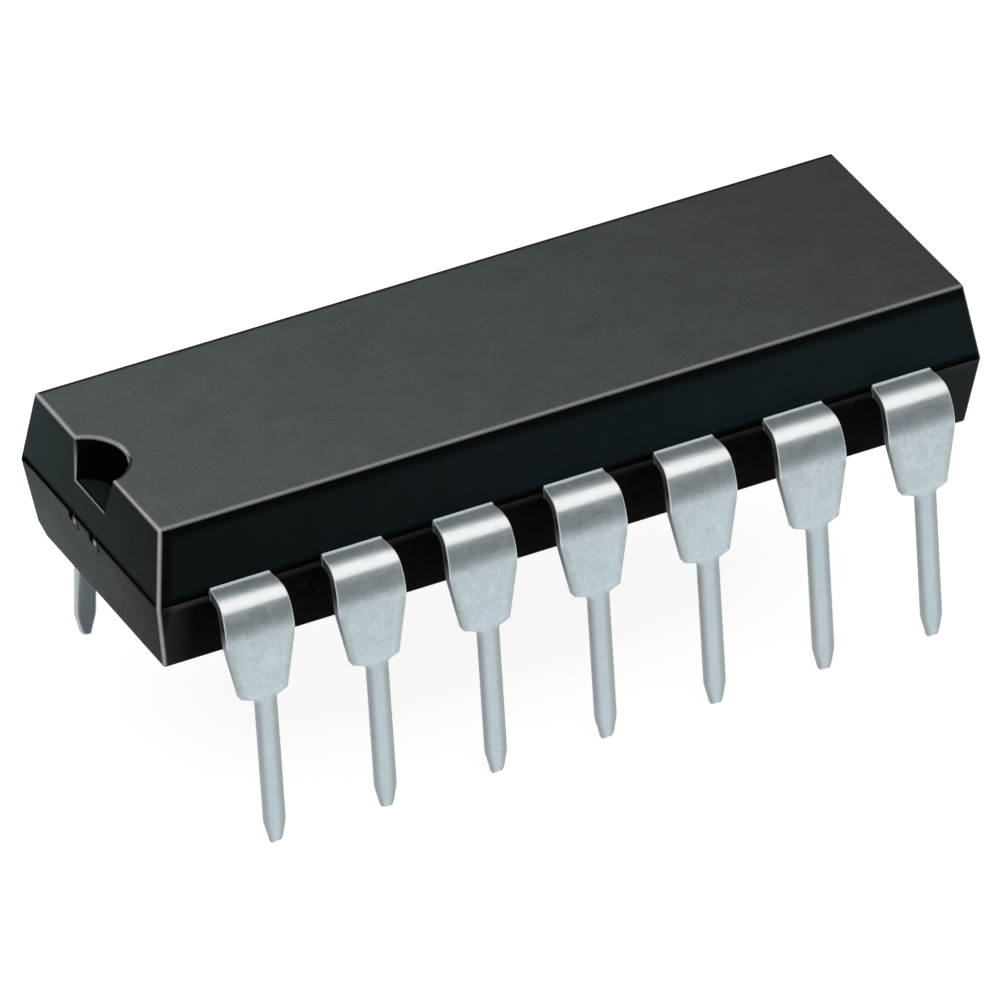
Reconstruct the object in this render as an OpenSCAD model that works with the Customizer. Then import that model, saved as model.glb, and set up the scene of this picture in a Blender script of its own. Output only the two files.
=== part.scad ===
// A 14-lead dual in-line integrated circuit, seated on its lead tips.
// +X runs along the body from the index notch, +Y towards the back row, +Z up.

/* [Package body] */
// Length of the body at the parting plane
body_l = 18.98; // [18.6:0.02:19.6]
// Width of the body at the parting plane
body_w = 6.34; // [6.2:0.02:6.6]
// Height of the upper half of the body
upper_h = 1.72; // [1.5:0.02:1.9]
// Height of the lower half of the body
lower_h = 1.68; // [1.5:0.02:1.9]
// Draft angle of the two ends
end_draft = 8; // [5:0.5:12]
// Draft angle of the two long sides
side_draft = 10; // [5:0.5:12]
// Radius of the moulded edges
edge_r = 0.09; // [0.05:0.01:0.15]
// Height of the groove above the parting plane
groove_h = 0.1; // [0.04:0.01:0.12]
// Depth of the groove above the parting plane
groove_d = 0.05; // [0.03:0.01:0.08]
// Distance from the ends of the groove to the corners of the body
groove_margin = 0.14; // [0.1:0.01:0.3]

/* [Index notch] */
// Radius of the notch at the top face
notch_r = 0.92; // [0.7:0.01:1.1]
// Depth of the notch below the top face
notch_depth = 0.89; // [0.6:0.01:1.2]
// Draft angle of the notch wall
notch_draft = 15.5; // [4:0.5:20]
// Distance of the notch from the middle of the body, towards the back row
notch_offset = 0.12; // [0:0.01:0.2]

/* [Moulding marks] */
// Diameter of the two ejector marks on the underside
ejector_d = 1.6; // [1.2:0.1:2]
// Depth of the ejector marks
ejector_depth = 0.06; // [0.03:0.01:0.1]
// Distance between the ejector marks
ejector_pitch = 12.7; // [10:0.1:14]
// Width of the chip in the body beside each trimmed tie bar
chip_w = 0.2; // [0.1:0.02:0.24]
// Height of that chip below the parting plane
chip_h = 0.17; // [0.1:0.01:0.25]
// Depth of that chip
chip_d = 0.12; // [0.05:0.01:0.2]

/* [Leadframe] */
// Thickness of the leadframe sheet
sheet_t = 0.254; // [0.2:0.002:0.3]
// Smallest gap between neighbouring pieces of the leadframe
sheet_gap = 0.22; // [0.18:0.01:0.25]
// Width of the fingers inside the body
finger_w = 0.4; // [0.3:0.01:0.45]
// Diameter of the locking hole in each lead
lock_hole_d = 0.5; // [0.3:0.05:0.6]
// Length of the wide root of each lead inside the body
root_l = 0.82; // [0.75:0.01:0.95]

/* [Leads] */
// Distance between neighbouring leads of a row
lead_pitch = 2.54; // [2.5:0.01:2.6]
// Width of a lead where it leaves the body
neck_w = 1.33; // [1.2:0.01:1.4]
// Width of a lead where its bend starts
bend_w = 1.43; // [1.38:0.01:1.54]
// Width of the shoulder
shoulder_w = 1.58; // [1.55:0.01:1.7]
// Width of the shoulder at its foot
foot_w = 1.06; // [0.9:0.01:1.2]
// Width of the pin
pin_w = 0.47; // [0.38:0.01:0.55]
// Width of the pin's tip
tip_w = 0.24; // [0.15:0.01:0.3]
// Length of the straight run from the body to the bend
neck_l = 0.36; // [0.25:0.01:0.45]
// Inner radius of the bend
bend_r = 0.25; // [0.2:0.01:0.35]
// Angle that the legs splay outwards
splay = 4.4; // [0:0.2:8]
// Depth of the widest part of the shoulder below the parting plane
shoulder_drop = 0.75; // [0.6:0.01:0.9]
// Depth of the shoulder's foot below the parting plane
foot_drop = 2.06; // [1.9:0.01:2.1]
// Depth of the pin's root below the parting plane
root_drop = 2.17; // [2.12:0.01:2.3]
// Depth of the lead tips below the parting plane
tip_drop = 5.62; // [5.2:0.02:6]
// Length of the pin's tapered end
tip_l = 0.5; // [0.3:0.02:0.7]
// Length of the bevels on the pin's end
bevel_l = 0.16; // [0.1:0.01:0.25]
// Depth of the bevels on the pin's end
bevel_d = 0.06; // [0.03:0.01:0.08]

/* [Die paddle] */
// Length of the paddle
paddle_l = 3.6; // [3.2:0.1:4]
// Width of the paddle
paddle_w = 2.2; // [2:0.1:2.3]
// Depth of the paddle's top face below the parting plane
downset = 0.15; // [0.1:0.01:0.3]
// Length of the step between the tie bars and the paddle
step_l = 0.3; // [0.2:0.05:0.4]
// Width of the tie bars
tie_w = 0.3; // [0.2:0.02:0.36]
// Width of the two prongs at each end
prong_w = 0.2; // [0.15:0.01:0.25]
// Distance between the two prongs
prong_pitch = 0.94; // [0.8:0.02:1]
// Distance of the prongs' middle from the middle of the body, towards the back row
prong_offset = 0.19; // [0:0.01:0.25]
// Length of the prongs
prong_l = 0.8; // [0.5:0.05:1]

/* [Die and bond wires] */
// Length of the die
die_l = 2; // [1.6:0.05:2.4]
// Width of the die
die_w = 1.5; // [1.2:0.05:1.7]
// Thickness of the die
die_t = 0.28; // [0.2:0.01:0.35]
// Thickness of the die attach
attach_t = 0.03; // [0.02:0.005:0.05]
// Distance that the die attach stands out around the die
attach_margin = 0.06; // [0.02:0.01:0.1]
// Distance from the edge of the die to the middle of a bond pad
pad_inset = 0.13; // [0.1:0.01:0.2]
// Diameter of the bond wires
wire_d = 0.033; // [0.025:0.001:0.05]
// Diameter of the balls on the bond pads
ball_d = 0.09; // [0.08:0.005:0.11]
// Height of the balls
ball_h = 0.02; // [0.015:0.005:0.03]
// Height of the wire loops
loop_h = 0.25; // [0.15:0.01:0.4]
// Distance from the end of a finger to the wire's stitch
stitch_inset = 0.25; // [0.15:0.01:0.4]

/* [Hidden] */
ROW_COUNT = 7;
LEAD_COUNT = 2 * ROW_COUNT;
function two_digits(i) = str(i < 10 ? "0" : "", i);
LEADS = [for (i = [1 : LEAD_COUNT]) str("lead_", two_digits(i))];
WIRES = [for (i = [1 : LEAD_COUNT]) str("bond_wire_", two_digits(i))];

BODY_COLOR = [0.19, 0.2, 0.2];
TIN_COLOR = [0.75, 0.78, 0.8];
COPPER_COLOR = [0.78, 0.55, 0.4];
ATTACH_COLOR = [0.62, 0.62, 0.6];
DIE_COLOR = [0.36, 0.38, 0.45];
GOLD_COLOR = [0.9, 0.72, 0.3];

// Facets of a full turn on the rounded edges, and of a full turn on round cuts
EDGE_FN = 24;
ROUND_FN = 64;
// Length by which a cutting shape runs past the surface that it cuts
past = 1;

// The parting plane lies at height 0 in every shape below and is raised to this height at the end
parting_z = tip_drop;

// Sides and steps of a bond wire's sweep
WIRE_SIDES = 6;
WIRE_STEPS = 11;

// Bend of the leads: distance of its centre from the middle of the body, its height and outer radius
bend_y = body_w / 2 + neck_l;
bend_z = -sheet_t / 2 - bend_r;
bend_outer_r = bend_r + sheet_t;
// Point where the outer face of the leg starts, and distance between the leg's faces at one height
leg_y = bend_y + bend_outer_r * cos(splay);
leg_z = bend_z + bend_outer_r * sin(splay);
leg_t = sheet_t / cos(splay);
// Inner end of a lead's wide root
root_y = body_w / 2 - root_l;

// Top faces of the paddle, the die attach and the die
paddle_top = -downset;
attach_top = paddle_top + attach_t;
die_top = attach_top + die_t;

// Middle lines of the two fingers that end beside the paddle's short side
outer_finger_y = tie_w / 2 + sheet_gap + finger_w / 2;
inner_finger_y = outer_finger_y + finger_w + sheet_gap;

// Elbows of the four finger shapes, from the middle of the row outwards, measured from each root
FINGER_ELBOWS = [
    [],
    [[-0.35, -0.4]],
    [[-0.6, -0.5]],
    [[-0.5, -0.6], [-2.3, -1.35]]
];

// Column of lead i: -3 at the notch end, 3 at the other; the side is -1 for the front row
function column(i) = i <= ROW_COUNT ? i - (ROW_COUNT + 1) / 2 : LEAD_COUNT - i - (ROW_COUNT - 1) / 2;
function row_side(i) = i <= ROW_COUNT ? -1 : 1;

// End of a finger, where k is the number of columns from the middle
function finger_tip(k) =
    k == 0 ? [0, paddle_w / 2 + sheet_gap] :
    k == 1 ? [paddle_l / 2 - finger_w, paddle_w / 2 + sheet_gap + finger_w / 2] :
    k == 2 ? [paddle_l / 2 + sheet_gap, inner_finger_y] :
             [paddle_l / 2 + sheet_gap, outer_finger_y];

function finger_root(k) = [k * lead_pitch, root_y];

function finger_path(k) = [
    finger_root(k) + [0, finger_w / 2],
    for (elbow = FINGER_ELBOWS[k]) finger_root(k) + elbow,
    finger_tip(k)
];

// Bond pad of a column on the die
function bond_pad(k) =
    k == 0 ? [0, die_w / 2 - pad_inset] :
    k == 1 ? [die_l * 0.3, die_w / 2 - pad_inset] :
    k == 2 ? [die_l / 2 - pad_inset, die_w * 0.3] :
             [die_l / 2 - pad_inset, die_w * 0.1];

// Place of the wire's stitch on the finger
function stitch(k) =
    let (path = finger_path(k), tip = path[len(path) - 1], back = path[len(path) - 2] - tip)
    tip + stitch_inset * back / norm(back);

// Distance from the middle of the body to the outer face of a leg at height z
function leg_face(z) = leg_y + (leg_z - z) * tan(splay);

module mirror_to(side, axis) {
    if (side < 0) mirror(axis) children();
    else children();
}

// Puts a shape made for the back row's +X quarter at lead i
module at_lead(i) {
    mirror_to(row_side(i), [0, 1, 0])
        mirror_to(column(i), [1, 0, 0])
            children();
}

module ball(r) {
    rotate_extrude($fn = EDGE_FN)
        intersection() {
            circle(r, $fn = EDGE_FN);
            translate([0, -r]) square([r, 2 * r]);
        }
}

// Half of the moulded body, standing on the parting plane, with drafted walls and rounded edges
module drafted_half(h) {
    // Distance of an edge ball's centre from the middle plane at height z, touching the drafted wall
    function ball_centre(size, draft, z) = size / 2 - z * tan(draft) - edge_r / cos(draft);
    intersection() {
        hull()
            for (x = [-1, 1], y = [-1, 1], z = [-past, h - edge_r])
                translate([
                    x * ball_centre(body_l, end_draft, z),
                    y * ball_centre(body_w, side_draft, z),
                    z
                ])
                    ball(edge_r);
        translate([-body_l, -body_w, 0]) cube([2 * body_l, 2 * body_w, h + past]);
    }
}

// Material that is missing above the parting plane, along the four walls and short of their corners
module parting_groove() {
    for (side = [-1, 1]) {
        translate([0, side * body_w / 2, groove_h / 2])
            cube([body_l - 2 * groove_margin, 2 * groove_d, groove_h], center = true);
        translate([side * body_l / 2, 0, groove_h / 2])
            cube([2 * groove_d, body_w - 2 * groove_margin, groove_h], center = true);
    }
}

// Pin of the mould that leaves the index notch, with a rounded upper edge
module notch_tool() {
    floor_z = upper_h - notch_depth;
    floor_r = notch_r - notch_depth * tan(notch_draft);
    lip_z = upper_h - edge_r;
    lip_r = notch_r - edge_r * tan(notch_draft);
    translate([-body_l / 2, notch_offset, 0])
        rotate_extrude($fn = ROUND_FN)
            polygon([
                [0, floor_z],
                [floor_r, floor_z],
                for (a = [0 : 30 : 90]) [lip_r + edge_r * (1 - cos(a)), lip_z + edge_r * sin(a)],
                [lip_r + edge_r, upper_h + past],
                [0, upper_h + past]
            ]);
}

module ejector_marks() {
    for (x = [-1, 1])
        translate([x * ejector_pitch / 2, 0, -lower_h - past])
            cylinder(d = ejector_d, h = past + ejector_depth, $fn = ROUND_FN);
}

// Chips in both ends of the body, on the back-row side of each prong
module tie_bar_chips() {
    for (x = [-1, 1], y = [-1, 1])
        mirror_to(x, [1, 0, 0])
            translate([
                body_l / 2 - chip_d,
                prong_offset + y * prong_pitch / 2 + prong_w / 2,
                -chip_h
            ])
                cube([chip_d + past, chip_w, chip_h]);
}

module moulded_form() {
    difference() {
        union() {
            drafted_half(upper_h);
            mirror([0, 0, 1]) drafted_half(lower_h);
        }
        parting_groove();
        notch_tool();
        ejector_marks();
        tie_bar_chips();
    }
}

// A strip of one width along a path, with round elbows and square ends
module strip(path, w) {
    last = len(path) - 1;
    for (j = [1 : last])
        let (step = path[j] - path[j - 1])
            translate(path[j - 1])
                rotate(atan2(step.y, step.x))
                    translate([0, -w / 2]) square([norm(step), w]);
    if (last > 1)
        for (j = [1 : last - 1])
            translate(path[j]) circle(d = w, $fn = ROUND_FN);
}

// Side view of a formed lead: distance from the body's middle along x, height along y
module lead_side_view() {
    tip_z = -tip_drop;
    bevel_z = tip_z + bevel_l;
    translate([root_y, -sheet_t / 2]) square([bend_y - root_y, sheet_t]);
    translate([bend_y, bend_z])
        intersection() {
            difference() {
                circle(bend_outer_r, $fn = ROUND_FN);
                circle(bend_r, $fn = ROUND_FN);
            }
            polygon(2 * bend_outer_r * [[0, 0], [cos(splay), sin(splay)], [1, 1], [0, 1]]);
        }
    polygon([
        [leg_y, leg_z],
        [leg_face(bevel_z), bevel_z],
        [leg_face(tip_z) - bevel_d, tip_z],
        [leg_face(tip_z) - leg_t + bevel_d, tip_z],
        [leg_face(bevel_z) - leg_t, bevel_z],
        [leg_y - sheet_t * cos(splay), leg_z - sheet_t * sin(splay)]
    ]);
}

// Front view of a lead below its bend: width along x, height along y
module lead_front_view() {
    half = [
        [shoulder_w / 2, sheet_t],
        [shoulder_w / 2, -shoulder_drop],
        [foot_w / 2, -foot_drop],
        [pin_w / 2, -root_drop],
        [pin_w / 2, tip_l - tip_drop],
        [tip_w / 2, -tip_drop]
    ];
    polygon(concat(half, [for (j = [len(half) - 1 : -1 : 0]) [-half[j].x, half[j].y]]));
}

// Plan of a lead outside its inner finger: width along x, distance from the body's middle along y
module lead_plan() {
    half = [
        [neck_w / 2, root_y],
        [neck_w / 2, body_w / 2],
        [bend_w / 2, bend_y],
        [shoulder_w / 2, leg_y],
        [shoulder_w / 2, leg_face(-tip_drop) + past]
    ];
    polygon(concat(half, [for (j = [len(half) - 1 : -1 : 0]) [-half[j].x, half[j].y]]));
}

// The lead's root, neck, bend, shoulder and pin
module formed_strip() {
    intersection() {
        rotate([90, 0, 90])
            translate([0, 0, -shoulder_w])
                linear_extrude(2 * shoulder_w) lead_side_view();
        rotate([90, 0, 0])
            translate([0, 0, -2 * leg_y])
                linear_extrude(2 * leg_y) lead_front_view();
        translate([0, 0, -tip_drop - past])
            linear_extrude(tip_drop + 2 * past) lead_plan();
    }
}

// A whole lead in the back row's +X quarter, k columns from the middle
module lead_shape(k) {
    difference() {
        union() {
            translate([k * lead_pitch, 0, 0]) formed_strip();
            translate([0, 0, -sheet_t / 2])
                linear_extrude(sheet_t) strip(finger_path(k), finger_w);
        }
        translate([k * lead_pitch, (root_y + body_w / 2) / 2, -sheet_t])
            cylinder(d = lock_hole_d, h = 2 * sheet_t, $fn = ROUND_FN);
    }
}

// Plan of the paddle, its tie bars and their prongs
module paddle_plan() {
    fork_x = body_l / 2 - prong_l;
    square([paddle_l, paddle_w], center = true);
    square([2 * fork_x, tie_w], center = true);
    for (x = [-1, 1]) {
        for (y = [-1, 1])
            translate([x * (body_l / 2 - prong_l / 2), prong_offset + y * prong_pitch / 2])
                square([prong_l, prong_w], center = true);
        translate([x * (fork_x - tie_w / 2), prong_offset])
            square([tie_w, prong_pitch + prong_w], center = true);
    }
}

// Side view of the paddle strip: its tie bars lie just under the parting plane
module paddle_side_view() {
    step_x = paddle_l / 2;
    end_x = body_l / 2;
    top = [
        [-end_x, 0], [-step_x - step_l, 0], [-step_x, paddle_top],
        [step_x, paddle_top], [step_x + step_l, 0], [end_x, 0]
    ];
    polygon(concat(top, [for (j = [len(top) - 1 : -1 : 0]) top[j] - [0, sheet_t]]));
}

module paddle_shape() {
    intersection() {
        rotate([90, 0, 0])
            translate([0, 0, -body_w])
                linear_extrude(2 * body_w) paddle_side_view();
        translate([0, 0, -downset - 2 * sheet_t])
            linear_extrude(downset + 3 * sheet_t) paddle_plan();
    }
}

module attach_shape() {
    translate([0, 0, paddle_top + attach_t / 2])
        cube([die_l + 2 * attach_margin, die_w + 2 * attach_margin, attach_t], center = true);
}

module die_shape() {
    translate([0, 0, attach_top + die_t / 2])
        cube([die_l, die_w, die_t], center = true);
}

// A ring of points around centre c, across a tangent that climbs at angle climb along direction e
function wire_ring(c, e, climb, r) = [
    for (j = [0 : WIRE_SIDES - 1])
        let (
            a = 360 * j / WIRE_SIDES,
            across = [-e.y, e.x, 0],
            normal = [-sin(climb) * e.x, -sin(climb) * e.y, cos(climb)]
        )
        c + r * (cos(a) * across + sin(a) * normal)
];

// Rings of a bond wire: the ball on its pad, then a loop that comes down on the finger
function wire_rings(k) =
    let (
        from = bond_pad(k),
        span = stitch(k) - from,
        e = span / norm(span),
        drop = sheet_t / 2 - die_top - ball_h
    )
    concat(
        [for (z = [0, ball_h]) wire_ring([from.x, from.y, die_top + z], e, 90, ball_d / 2)],
        [
            for (s = [0 : WIRE_STEPS])
                let (
                    turn = 180 * s / WIRE_STEPS,
                    along = (1 - cos(turn)) / 2,
                    rise = drop * along + loop_h * sin(turn),
                    climb = atan2(
                        drop * sin(turn) / 2 + loop_h * cos(turn),
                        norm(span) * sin(turn) / 2
                    )
                )
                wire_ring(
                    [
                        from.x + along * span.x,
                        from.y + along * span.y,
                        die_top + ball_h + rise
                    ],
                    e, climb, wire_d / 2
                )
        ]
    );

// A closed solid through a list of rings
module sweep(rings) {
    n = len(rings[0]);
    last = len(rings) - 1;
    polyhedron(
        points = [for (ring = rings) for (p = ring) p],
        faces = concat(
            [[for (j = [0 : n - 1]) j]],
            [
                for (s = [0 : last - 1], j = [0 : n - 1], upper = [0, 1])
                    let (
                        a = s * n + j,
                        b = s * n + (j + 1) % n
                    )
                    upper == 0 ? [a, a + n, b] : [b, a + n, b + n]
            ],
            [[for (j = [n - 1 : -1 : 0]) last * n + j]]
        )
    );
}

module wire_shape(k) {
    sweep(wire_rings(k));
}

module package_body() {
    color(BODY_COLOR)
        translate([0, 0, parting_z])
            difference() {
                moulded_form();
                paddle_shape();
                attach_shape();
                die_shape();
                for (i = [1 : LEAD_COUNT])
                    at_lead(i) {
                        lead_shape(abs(column(i)));
                        wire_shape(abs(column(i)));
                    }
            }
}

module lead(i) {
    color(TIN_COLOR)
        translate([0, 0, parting_z])
            at_lead(i) lead_shape(abs(column(i)));
}

module bond_wire(i) {
    color(GOLD_COLOR)
        translate([0, 0, parting_z])
            at_lead(i) wire_shape(abs(column(i)));
}

module die_paddle() {
    color(COPPER_COLOR)
        translate([0, 0, parting_z]) paddle_shape();
}

module die_attach() {
    color(ATTACH_COLOR)
        translate([0, 0, parting_z]) attach_shape();
}

module silicon_die() {
    color(DIE_COLOR)
        translate([0, 0, parting_z]) die_shape();
}

package_body();
die_paddle();
die_attach();
silicon_die();
for (i = [1 : LEAD_COUNT])
    lead(i);
for (i = [1 : LEAD_COUNT])
    bond_wire(i);
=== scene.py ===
"""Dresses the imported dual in-line integrated circuit and sets up its camera, light and floor."""

import math
import random

import bmesh
import bpy
from mathutils import Matrix, Vector


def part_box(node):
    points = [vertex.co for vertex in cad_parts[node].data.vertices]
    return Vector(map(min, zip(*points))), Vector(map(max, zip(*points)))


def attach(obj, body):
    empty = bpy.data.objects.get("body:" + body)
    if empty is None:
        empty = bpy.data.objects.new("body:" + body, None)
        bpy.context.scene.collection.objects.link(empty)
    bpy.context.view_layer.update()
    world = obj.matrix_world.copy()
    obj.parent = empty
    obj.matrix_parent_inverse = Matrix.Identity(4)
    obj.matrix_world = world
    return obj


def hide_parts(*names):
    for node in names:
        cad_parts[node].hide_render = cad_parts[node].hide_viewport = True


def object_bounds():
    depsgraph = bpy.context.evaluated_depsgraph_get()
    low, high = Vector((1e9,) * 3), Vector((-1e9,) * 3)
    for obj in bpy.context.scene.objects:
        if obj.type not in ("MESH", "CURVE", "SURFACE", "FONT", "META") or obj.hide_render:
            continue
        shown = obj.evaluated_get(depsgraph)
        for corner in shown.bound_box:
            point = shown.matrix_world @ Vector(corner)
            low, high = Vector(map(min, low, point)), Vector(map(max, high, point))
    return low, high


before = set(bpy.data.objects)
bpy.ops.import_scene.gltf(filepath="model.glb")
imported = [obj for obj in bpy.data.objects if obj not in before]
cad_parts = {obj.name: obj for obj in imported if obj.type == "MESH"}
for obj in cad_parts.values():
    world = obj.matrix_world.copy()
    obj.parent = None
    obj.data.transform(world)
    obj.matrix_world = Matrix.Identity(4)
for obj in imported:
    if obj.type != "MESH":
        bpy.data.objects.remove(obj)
cad_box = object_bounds()

# Lengths are millimetres until a finished mesh is scaled by this
MM = 0.001
# Two lengths count as equal when they differ by less
TOLERANCE = 0.002

# The lead sheet, whose top face beside the body gives the height of the parting plane
SHEET_T = 0.254
LEADS = [name for name in sorted(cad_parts) if name.startswith("lead_")]
PARTING_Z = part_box(LEADS[0])[1].z / MM - SHEET_T / 2

# The moulded body, measured from its parting plane
body_low, body_high = (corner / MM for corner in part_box("package_body"))
BODY_L = body_high.x - body_low.x
BODY_W = body_high.y - body_low.y
UPPER_H = body_high.z - PARTING_Z
LOWER_H = PARTING_Z - body_low.z
END_DRAFT = math.radians(8)
SIDE_DRAFT = math.radians(10)

# The rounded edges: their full width, their segments and how far from the sharp edge they reach
EDGE_W = 0.09
EDGE_SEGMENTS = 6
EDGE_REACH = 1.5 * EDGE_W

# Smallest angle between faces that stays a sharp line in the shading
BODY_CREASE = math.radians(35)
LEAD_CREASE = math.radians(40)

# Marks in the body, of the sizes that the solids have
NOTCH_R = 0.92
NOTCH_DEPTH = 0.89
NOTCH_DRAFT = math.radians(15.5)
NOTCH_OFFSET = 0.12
NOTCH_FLOOR = UPPER_H - NOTCH_DEPTH
GROOVE_H = 0.1
GROOVE_D = 0.05
GROOVE_MARGIN = 0.14
EJECTOR_D = 1.6
EJECTOR_DEPTH = 0.06
EJECTOR_PITCH = 12.7
PRONG_OFFSET = 0.19
PRONG_PITCH = 0.94
PRONG_W = 0.2
CHIP_W = 0.2
CHIP_H = 0.17
CHIP_D = 0.12
ROUND_STEPS = 96

# The cut on the far lower corner of the notched end: its reach along the length, across and up
CORNER_CUT = (0.3, 0.44, 0.22)

# How strong the painted highlights on the roundings are, from 0 to 1: most of them, then those at the
# groove and in the notch
EDGE_HIGHLIGHT_LEVEL = 0.8
GROOVE_HIGHLIGHT_LEVEL = 0.05
NOTCH_FLOOR_HIGHLIGHT_LEVEL = 0.95
NOTCH_WALL_HIGHLIGHT_LEVEL = 0.75
# The notch's rim by the distance towards the back row, and the top's front edge by the normal's height
NOTCH_RIM_HIGHLIGHT_LEVEL = [(NOTCH_OFFSET - 0.45, 0.1), (NOTCH_OFFSET + 0.4, 0.42)]
TOP_FRONT_HIGHLIGHT_LEVEL = [(0.5, 0.0), (0.8, 0.42)]
# A rounding gets no painted highlight where its normal points further than this to the back, the far end
# or down, away from the light
FACES_AWAY = 0.35
# Heights that part the groove's roundings and the notch's rim from their neighbours
GROOVE_REACH = 1.2 * GROOVE_H
NOTCH_RIM_Z = UPPER_H - 1.1 * EDGE_W
# Least parts of the normal along x on the notch's rim, and along x and z on the top's front edge
RIM_NORMAL_X = -0.6
TOP_EDGE_NORMAL_X = -0.3
TOP_EDGE_NORMAL_Z = 0.3

# The leads: widths down the strip, and depths below the parting plane
NECK_W = 1.37
BEND_W = 1.45
SHOULDER_W = 1.58
FOOT_W = 1.06
PIN_W = 0.47
TIP_W = 0.24
SHOULDER_DROP = 0.75
BEND_MARK_DROP = SHOULDER_DROP + 0.15
LEG_RING_DROPS = (1.2, 1.5, 1.8)
FOOT_DROP = 2.06
ROOT_DROP = 2.17
TIP_L = 0.5
BEVEL_L = 0.16
BEVEL_D = 0.06
# The pin's marks are at their full strength from here down
PIN_MARK_DROP = ROOT_DROP + 0.1
# How much wider a pin is at its very root, and the greatest slope of its tip's end face
ROOT_FLARE = 0.05
TIP_LEAN = 0.03

# Distances from the body's middle to where the strip is BEND_W wide and to where it is SHOULDER_W wide,
# and to the leg's outer face at the height of the parting plane
BEND_Y = BODY_W / 2 + 0.35
BEND_END_Y = BEND_Y + 0.5
LEG_FACE_Y = BODY_W / 2 + 0.8365
SPLAY = math.radians(4.4)
# Outer radius of each stretch of the bend, and the sheet's tilt at its end
BEND_TURNS = [(0.9, math.radians(17)), (0.39, math.radians(62)), (1.6, math.pi / 2 - SPLAY)]
BEND_STEPS = 10

# Radii of the strip's edges on the leg and on the pin, and the pin's place off the middle of its column
SHEET_EDGE_R = 0.035
PIN_FRONT_R = 0.07
PIN_BACK_R = 0.12
PIN_SHIFT = 0.045
CORNER_STEPS = 5
# The bead where a lead leaves the body: its height and length
ROOT_BEAD = 0.025
ROOT_BEAD_L = 0.035
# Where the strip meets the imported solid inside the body, and how far it laps over it
JOIN_Y = BODY_W / 2 - 0.12
JOIN_LAP = 0.04
# The last ring that the body hides, and the neck's rings by their share of its length
HIDDEN_RING_Y = BODY_W / 2 - 0.03
NECK_RINGS = (0.2, 0.6)
# Distance between a crease of the strip and the rings that hold its shape
RING_GAP = 0.04

# The photograph's camera, fitted to the corners of the body and the leads: its place from the middle of
# the parting plane, its turn in radians and its focal length in pixels of a picture this wide
CAMERA_FROM_PARTING = Vector((-124.699376, -249.904343, 186.842568))
CAMERA_TURN = (0.97541222, 0.02102854, -0.47672159)
FOCAL_PIXELS = 16327.105
IMAGE_PIXELS = 1000
SENSOR_W = 36
# Nearest and farthest distances that the camera sees, in metres
CLIP_NEAR = 0.01
CLIP_FAR = 100


# Meshes

def mesh_object(name, bm):
    """Puts a millimetre mesh into the scene as an object."""
    mesh = bpy.data.meshes.new(name)
    bm.to_mesh(mesh)
    bm.free()
    made = bpy.data.objects.new(name, mesh)
    bpy.context.scene.collection.objects.link(made)
    return made


def settled(made):
    """Applies an object's modifiers to its mesh."""
    bpy.context.view_layer.update()
    graph = bpy.context.evaluated_depsgraph_get()
    mesh = bpy.data.meshes.new_from_object(made.evaluated_get(graph))
    made.modifiers.clear()
    made.data = mesh
    return made


def to_row_frame(made):
    """Turns a millimetre mesh on the parting plane into metres in the row frame."""
    raise_up = Matrix.Translation((0, 0, PARTING_Z))
    made.data.transform(Matrix.Scale(MM, 4) @ raise_up)
    return made


def add_rings(bm, rings):
    """Skins rings of points and caps both ends. Returns the rings' new vertices."""
    loops = [[bm.verts.new(p) for p in ring] for ring in rings]
    n = len(loops[0])
    for lower, upper in zip(loops, loops[1:]):
        for j in range(n):
            bm.faces.new((lower[j], lower[(j + 1) % n], upper[(j + 1) % n], upper[j]))
    bm.faces.new(list(reversed(loops[0])))
    bm.faces.new(loops[-1])
    return loops


def add_box(bm, low, high):
    """A box between two corners."""
    ring = [(low[0], low[1]), (high[0], low[1]), (high[0], high[1]), (low[0], high[1])]
    add_rings(bm, [[(x, y, z) for x, y in ring] for z in (low[2], high[2])])


def add_cone(bm, centre, levels):
    """A round solid through (height, radius) levels about a vertical axis."""
    turns = [math.tau * j / ROUND_STEPS for j in range(ROUND_STEPS)]
    add_rings(bm, [
        [(centre[0] + r * math.cos(a), centre[1] + r * math.sin(a), z) for a in turns]
        for z, r in levels
    ])


def along(points, x):
    """Reads a line of (place, value) points at place x."""
    if x <= points[0][0]:
        return points[0][1]
    for (x0, v0), (x1, v1) in zip(points, points[1:]):
        if x <= x1:
            return v0 + (v1 - v0) * (x - x0) / (x1 - x0)
    return points[-1][1]


# The moulded body

def half_length(z):
    return BODY_L / 2 - abs(z) * math.tan(END_DRAFT)


def half_width(z):
    return BODY_W / 2 - abs(z) * math.tan(SIDE_DRAFT)


def notch_radius(z):
    return NOTCH_R - (UPPER_H - z) * math.tan(NOTCH_DRAFT)


def notch_distance(p):
    return math.hypot(p.x + BODY_L / 2, p.y - NOTCH_OFFSET)


def cut_corner(bm):
    """Takes the far lower corner off the notched end."""
    cut_x, cut_y, cut_z = CORNER_CUT
    corner = Vector((-half_length(LOWER_H), half_width(LOWER_H), -LOWER_H))
    outward = Vector((-1 / cut_x, 1 / cut_y, -1 / cut_z)).normalized()
    everything = bm.verts[:] + bm.edges[:] + bm.faces[:]
    plane = corner + Vector((cut_x, 0, 0))
    bmesh.ops.bisect_plane(bm, geom=everything, plane_co=plane, plane_no=outward, clear_outer=True)
    bmesh.ops.edgeloop_fill(bm, edges=[e for e in bm.edges if e.is_boundary])


def sharp_body():
    """Both drafted halves with sharp edges."""
    bm = bmesh.new()
    signs = ((-1, -1), (1, -1), (1, 1), (-1, 1))
    add_rings(bm, [
        [(x * half_length(z), y * half_width(z), z) for x, y in signs]
        for z in (-LOWER_H, 0, UPPER_H)
    ])
    cut_corner(bm)
    return mesh_object("moulded_body", bm)


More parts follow.
